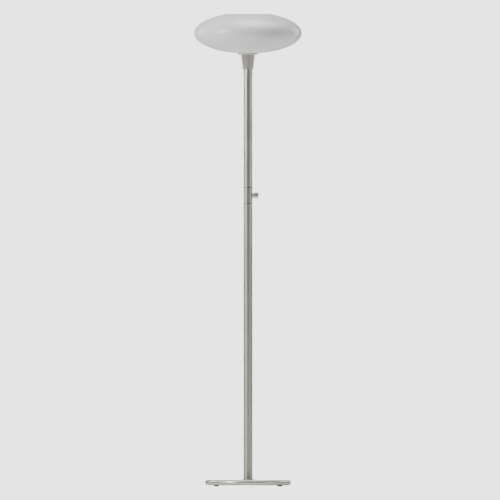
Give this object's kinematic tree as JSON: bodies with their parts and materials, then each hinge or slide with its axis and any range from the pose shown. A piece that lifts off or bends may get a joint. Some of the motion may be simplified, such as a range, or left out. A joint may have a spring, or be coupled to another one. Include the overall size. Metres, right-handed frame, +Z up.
{
  "type": "torchiere floor lamp",
  "caption": "Torchiere floor lamp: a round weighted base, a slim column with a rotary dimmer knob on its side, and a flattened ellipsoid opal glass shade, open at the top.",
  "frame": {"origin": "on the floor, under the column's axis", "axes": "+Z up along the column, +X the way the dimmer knob points, +Y the rear, where the cord inlet is"},
  "size_m": [0.381, 0.3808, 1.6764],
  "materials": {
    "satin_nickel": "satin brushed nickel plate",
    "opal_glass": "white opal glass, satin outside",
    "cast_iron": "raw casting, lightly rusted",
    "black_steel": "black powder coat, fine texture",
    "zinc_steel": "zinc plated",
    "brass": "turned brass",
    "black_rubber": "moulded, matte",
    "black_nylon": "moulded nylon",
    "white_nylon": "moulded nylon",
    "black_phenolic": "moulded phenolic, semi-gloss",
    "porcelain": "white glaze",
    "grey_silicone": "silicone sheet, matte",
    "aluminium": "stamped, satin",
    "brown_laminate": "phenolic laminate",
    "enamelled_copper": "enamelled winding wire",
    "frosted_glass": "inside-frosted bulb glass",
    "clear_glass": "clear lamp glass",
    "black_glass": "black vitrite",
    "solder": "dull solder",
    "tungsten": "dark wire",
    "black_pvc": "wire insulation",
    "white_pvc": "wire insulation",
    "red_pvc": "wire insulation"
  },
  "bodies": {
    "lamp": {"base_cover": "satin_nickel", "base_weight": "cast_iron", "bottom_plate": "black_steel", "foot_pads": "black_rubber", "foot_screws": "zinc_steel", "cord_bushing": "black_nylon", "terminal_block": "white_nylon", "terminal_inserts": "brass", "terminal_screws": "zinc_steel", "terminal_block_screw": "zinc_steel", "anchor_washer": "zinc_steel", "anchor_lock_washer": "zinc_steel", "anchor_nut": "zinc_steel", "anchor_nipple": "brass", "pole_collar": "satin_nickel", "lower_tube": "satin_nickel", "lower_tube_plug": "brass", "lower_coupler": "brass", "switch_housing": "satin_nickel", "upper_coupler": "brass", "upper_tube": "satin_nickel", "upper_tube_plug": "brass", "dimmer_case": "black_phenolic", "dimmer_back_plate": "aluminium", "dimmer_triac": "black_phenolic", "dimmer_choke": "enamelled_copper", "dimmer_track": "brown_laminate", "dimmer_bushing": "brass", "dimmer_inner_nut": "brass", "dimmer_saddle_washer": "satin_nickel", "dimmer_outer_nut": "brass", "line_lead": "black_pvc", "neutral_lead": "white_pvc", "switched_lead": "red_pvc", "head_nipple": "brass", "neck": "satin_nickel", "head_nut": "zinc_steel", "lampholder_cap": "black_phenolic", "lampholder_skirt": "black_phenolic", "lampholder_core": "porcelain", "lampholder_screw_shell": "brass", "lampholder_contact": "brass", "shade_seat": "satin_nickel", "lower_gasket": "grey_silicone", "glass_shade": "opal_glass", "upper_gasket": "grey_silicone", "shade_ring": "black_phenolic", "bulb_envelope": "frosted_glass", "bulb_cap": "aluminium", "bulb_insulator": "black_glass", "bulb_tip": "solder", "bulb_stem": "clear_glass", "bulb_filament": "tungsten"},
    "knob": {"dimmer_knob": "satin_nickel", "knob_set_screw": "black_steel", "dimmer_shaft": "brass", "dimmer_wiper": "brass"}
  },
  "joints": [
    {"name": "knob_turn", "type": "hinge", "parent": "lamp", "child": "knob", "pos_m": [0, 0, 1.0325], "axis": [-1, 0, 0], "range_deg": [0, 300]}
  ]
}
